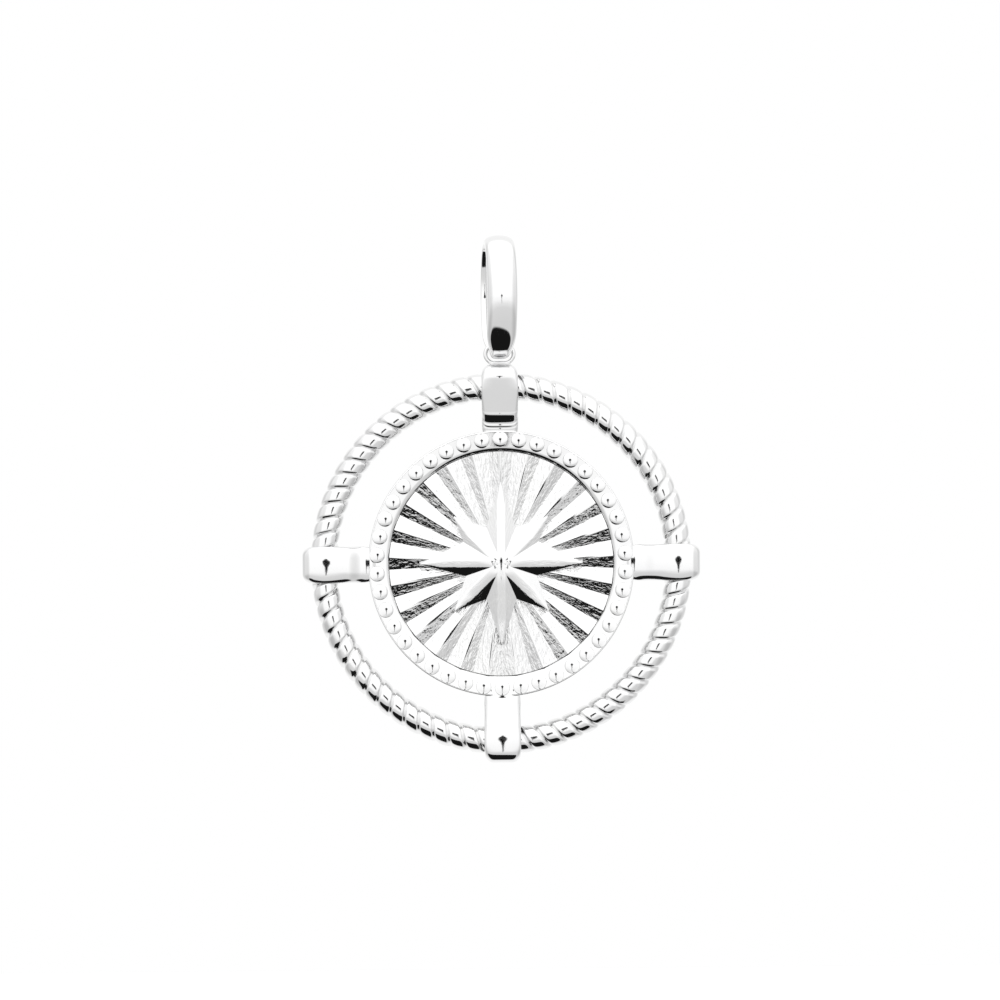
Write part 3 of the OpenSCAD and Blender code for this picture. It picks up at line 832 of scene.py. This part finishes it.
def lay_cut_lines(piece, star_points, back_points):
    """UV for the tool's lines: u is the angle round the disc in degrees, v the radius in mm.
    Where a face crosses the start of the circle, its small angles are given another turn. The
    point attribute `cut` is 1 on the flutes, 0 within SMOOTH_DEGREES of a ridge and from
    `back_points` on, and up to STAR_MARKS on the star, rising from PLAIN_R outwards."""
    mesh = piece.data
    co = np.empty(3 * len(mesh.vertices))
    mesh.vertices.foreach_get("co", co)
    x, y = co[0::3] / MM, co[2::3] / MM - PENDANT_Z
    corner = np.empty(len(mesh.loops), int)
    mesh.loops.foreach_get("vertex_index", corner)
    size = np.empty(len(mesh.polygons), int)
    mesh.polygons.foreach_get("loop_total", size)
    radius, turned = np.hypot(x, y), np.degrees(np.arctan2(y, x))
    angle = turned[corner] % 360
    start = np.concatenate([[0], np.cumsum(size)[:-1]])
    widest = np.maximum.reduceat(angle, start)
    angle = angle + 360 * (np.repeat(widest, size) - angle > 180)
    uv = np.stack([angle, radius[corner]], axis=-1)
    mesh.uv_layers.new(name="cut_lines").data.foreach_set("uv", uv.ravel())
    from_top = np.abs((turned + 90) % 360 - 180)
    from_ridge = np.abs((from_top / FLUTE_PITCH + 0.5) % 1 - 0.5) * FLUTE_PITCH
    cut = np.where(from_ridge < SMOOTH_DEGREES, 0.0, 1.0)
    cut[:star_points] = STAR_MARKS * np.clip(radius[:star_points] - PLAIN_R, 0, 1)
    cut[back_points:] = 0
    mesh.attributes.new("cut", "FLOAT", "POINT").data.foreach_set("value", cut)
    print("share of the disc's points that the tool marked:", round(float(np.mean(cut > 0)), 2))


lay_cut_lines(disc, STAR_ROWS * cols, (rows - len(DISC_EDGE)) * cols)

# %% [markdown]
# ## The studio
# A mirror shows only what stands round it. The studio itself isn't seen, but the reflections
# fit a white tent that is open below the camera: that opening is the dark patch in every face
# that tips down. The camera's own hole would be the small dark bar. Lamps and cards of cloth
# would do, but the tent is far away for so small a thing, so it is painted on the world by
# direction. First come the direction's angles: up from level, round from the front, and off
# and round the camera's axis.

# %% Directions
DEG = math.pi / 180
world = bpy.data.worlds.new("white_tent")
bpy.context.scene.world = world
world.use_nodes = True
sky = world.node_tree
sky.nodes.clear()
axes = add(sky, "ShaderNodeSeparateXYZ",
           {"Vector": add(sky, "ShaderNodeTexCoord").outputs["Generated"]}).outputs
to_front = add(sky, MATH, {0: axes["Y"], 1: -1.0}, operation="MULTIPLY")
down = add(sky, MATH, {0: axes["Z"], 1: -1.0}, operation="MULTIPLY")
elevation = add(sky, MATH, {0: axes["Z"]}, operation="ARCSINE")
azimuth = add(sky, MATH, {0: axes["X"], 1: to_front}, operation="ARCTAN2")
from_axis = add(sky, MATH, {0: to_front}, operation="ARCCOSINE")
round_axis = add(sky, MATH, {0: axes["X"], 1: down}, operation="ARCTAN2")
print("nodes for the directions:", len(sky.nodes))

# %% [markdown]
# ## The tent's opening
# The opening is an oval patch of dark studio. The two angles, less those of its middle and
# over its half widths, make a pair whose length is 1 on the oval's edge. A Map Range node with
# a smooth step turns such a measure into cloth or opening, with the soft edge that hung cloth
# has.

# %% Opening
OPENING_MIDDLE, OPENING_HALF = (65 * DEG, -7 * DEG, 0), (28 * DEG, 46 * DEG, 1)
OPENING_SOFT = 3 * DEG


def soft_edge(limit, soft, before=1.0, beyond=0.0):
    """Settings for a Map Range node: one level before the limit and another beyond it."""
    return {"From Min": limit - soft, "From Max": limit + soft,
            "To Min": before, "To Max": beyond}


pair = add(sky, "ShaderNodeCombineXYZ", {"X": from_axis, "Y": round_axis})
off = add(sky, "ShaderNodeVectorMath", {0: pair, 1: OPENING_MIDDLE}, operation="SUBTRACT")
shares = add(sky, "ShaderNodeVectorMath", {0: off, 1: OPENING_HALF}, operation="DIVIDE")
oval = add(sky, "ShaderNodeVectorMath", {0: shares}, operation="LENGTH").outputs["Value"]
outside_opening = add(sky, MAP_RANGE, {"Value": oval,
                                       **soft_edge(1, OPENING_SOFT, before=0.0, beyond=1.0)},
                      interpolation_type="SMOOTHSTEP")
print("nodes with the opening:", len(sky.nodes))

# %% [markdown]
# ## The camera's hole
# The small dark marks in the metal fit a camera that looks in through a slit: a wide head on a
# stand that narrows downwards. Its half width changes with the elevation, which a Color Ramp
# holds well: it is straight between its stops. A ramp's colours end at 1, so the largest value
# is taken out first and multiplied back in afterwards.

# %% Camera's hole
# Elevation and half width of the camera and its stand, both in degrees
CAMERA = [(-14, 0), (-13.5, 0.3), (-6, 0.6), (-2, 1.2), (0.5, 2.8), (2, 2.8), (4, 0)]
HOLE_LOW, HOLE_HIGH, HOLE_SOFT, HOLE_SIDE_SOFT = -13.7 * DEG, 4.2 * DEG, 0.5 * DEG, 0.25 * DEG


def by_elevation(tree, angle, stops):
    """A value that changes with an elevation, straight between stops of degrees and value."""
    most = max(value for _, value in stops)
    turned = add(tree, MATH, {0: angle, 1: math.pi}, operation="DIVIDE")
    place = add(tree, MATH, {0: turned, 1: 0.5}, operation="ADD")
    ramp = add(tree, "ShaderNodeValToRGB", {0: place})
    while len(ramp.color_ramp.elements) < len(stops):
        ramp.color_ramp.elements.new(0.5)
    for stop, (degrees, value) in zip(ramp.color_ramp.elements, stops):
        stop.position = degrees / 180 + 0.5
        stop.color = (value / most, value / most, value / most, 1)
    return add(tree, MATH, {0: ramp, 1: most}, operation="MULTIPLY")


half_width = add(sky, MATH, {0: by_elevation(sky, elevation, CAMERA), 1: DEG},
                 operation="MULTIPLY")
aside = add(sky, MATH, {0: azimuth}, operation="ABSOLUTE")
outside = add(sky, MATH, {0: aside, 1: half_width}, operation="SUBTRACT")
across_hole, under_top, under_foot = (
    add(sky, MAP_RANGE, {"Value": value, **soft_edge(limit, soft)},
        interpolation_type="SMOOTHSTEP")
    for value, limit, soft in ((outside, 0, HOLE_SIDE_SOFT), (elevation, HOLE_HIGH, HOLE_SOFT),
                               (elevation, HOLE_LOW, HOLE_SOFT)))
up_hole = add(sky, MATH, {0: under_top, 1: under_foot}, operation="SUBTRACT")
hole = add(sky, MATH, {0: across_hole, 1: up_hole}, operation="MULTIPLY")
outside_hole = add(sky, MATH, {0: 1.0, 1: hole}, operation="SUBTRACT")
print("nodes with the camera's hole:", len(sky.nodes))

# %% [markdown]
# ## The white cloth
# Lit from above, the cloth is brighter there and greyer below and at the far sides. The level
# in front follows the elevation, and behind the pendant it is even. The opening and the hole
# are cut out last. The camera itself looks past the tent at pure white, as the picture shows
# its ground.

# %% Cloth
# Elevation in degrees, and the level of the cloth there
CLOTH = [(-90, 0.72), (-30, 0.79), (-18, 0.84), (-13, 1.0), (-9, 1.17), (0, 1.26), (10, 1.32),
         (25, 1.44)]
BEHIND, BEHIND_FROM, BEHIND_SOFT = 1.1, 100 * DEG, 10 * DEG
FAR_SIDE, FAR_FROM, FAR_SOFT = 0.74, 41 * DEG, 9 * DEG
DARKEST = 0.010

front = add(sky, MAP_RANGE, {"Value": from_axis, **soft_edge(BEHIND_FROM, BEHIND_SOFT)},
            interpolation_type="SMOOTHSTEP")
# Sockets 2 and 3 of a Mix node are its two numbers.
level = add(sky, "ShaderNodeMix", {0: front, 2: BEHIND,
                                   3: by_elevation(sky, elevation, CLOTH)})
sideways = add(sky, MATH, {0: axes["X"]}, operation="ABSOLUTE")
side_level = add(sky, MAP_RANGE, {"Value": sideways,
                                  **soft_edge(FAR_FROM, FAR_SOFT, beyond=FAR_SIDE)},
                 interpolation_type="SMOOTHSTEP")
for share in (side_level, outside_opening, outside_hole):
    level = add(sky, MATH, {0: level, 1: share}, operation="MULTIPLY")
level = add(sky, MATH, {0: level, 1: DARKEST}, operation="MAXIMUM")
tent = add(sky, "ShaderNodeBackground", {"Color": (1, 1, 1, 1), "Strength": level})
plain = add(sky, "ShaderNodeBackground", {"Color": (1, 1, 1, 1), "Strength": 1.0})
seen = add(sky, "ShaderNodeLightPath").outputs["Is Camera Ray"]
mixed = add(sky, "ShaderNodeMixShader", {0: seen, 1: tent, 2: plain})
add(sky, "ShaderNodeOutputWorld", {"Surface": mixed})
bpy.context.scene.view_settings.view_transform = "Standard"
print("world:", world.name, len(sky.nodes), "nodes")

# %% [markdown]
# ## Floor
# The pendant hangs, so the pale paper floor lies well below it. One square of matt paper is
# enough. The metal doesn't mirror it, because the tent on the world already holds what the
# metal should mirror.

# %% Floor
FLOOR_HALF, FLOOR_Z = 0.25, -0.06
square = [(-1, -1), (1, -1), (1, 1), (-1, 1)]
floor_mesh = bpy.data.meshes.new("floor")
floor_mesh.from_pydata([(x * FLOOR_HALF, y * FLOOR_HALF, FLOOR_Z) for x, y in square], [],
                       [(0, 1, 2, 3)])
floor = bpy.data.objects.new("floor", floor_mesh)
bpy.context.scene.collection.objects.link(floor)
floor_finish, _, floor_shader = new_finish("pale_paper")
floor_shader.inputs["Base Color"].default_value = linear("#FAFAFA")
floor_shader.inputs["Roughness"].default_value = 0.9
floor_mesh.materials.append(floor_finish)
floor.visible_glossy = False
print("floor at z =", FLOOR_Z / MM, "mm")

# %% [markdown]
# ## Camera
# The photograph looks square from the front, without the spread of a near lens, so a 180 mm
# lens stands as far off as its picture's width asks. The camera leans by half a degree,
# because the pendant stands that much askew in the photograph.

# %% Camera
MM_PER_PIXEL, PICTURE_PIXELS = 0.0503, 1000
LENS_MM, SENSOR_MM = 180, 36
LOOK_X, LOOK_Z, LEAN = -0.035, -12.83, 0.5
camera_data = bpy.data.cameras.new("camera")
camera_data.lens = LENS_MM
camera_data.sensor_width = SENSOR_MM
picture_width = PICTURE_PIXELS * MM_PER_PIXEL * MM
distance = picture_width / 2 / (SENSOR_MM / 2 / LENS_MM)
camera = bpy.data.objects.new("camera", camera_data)
bpy.context.scene.collection.objects.link(camera)
camera.location = (LOOK_X * MM, -distance, LOOK_Z * MM)
camera.rotation_euler = (math.radians(90), math.radians(LEAN), 0)
bpy.context.scene.camera = camera
print("camera distance", round(distance / MM), "mm")
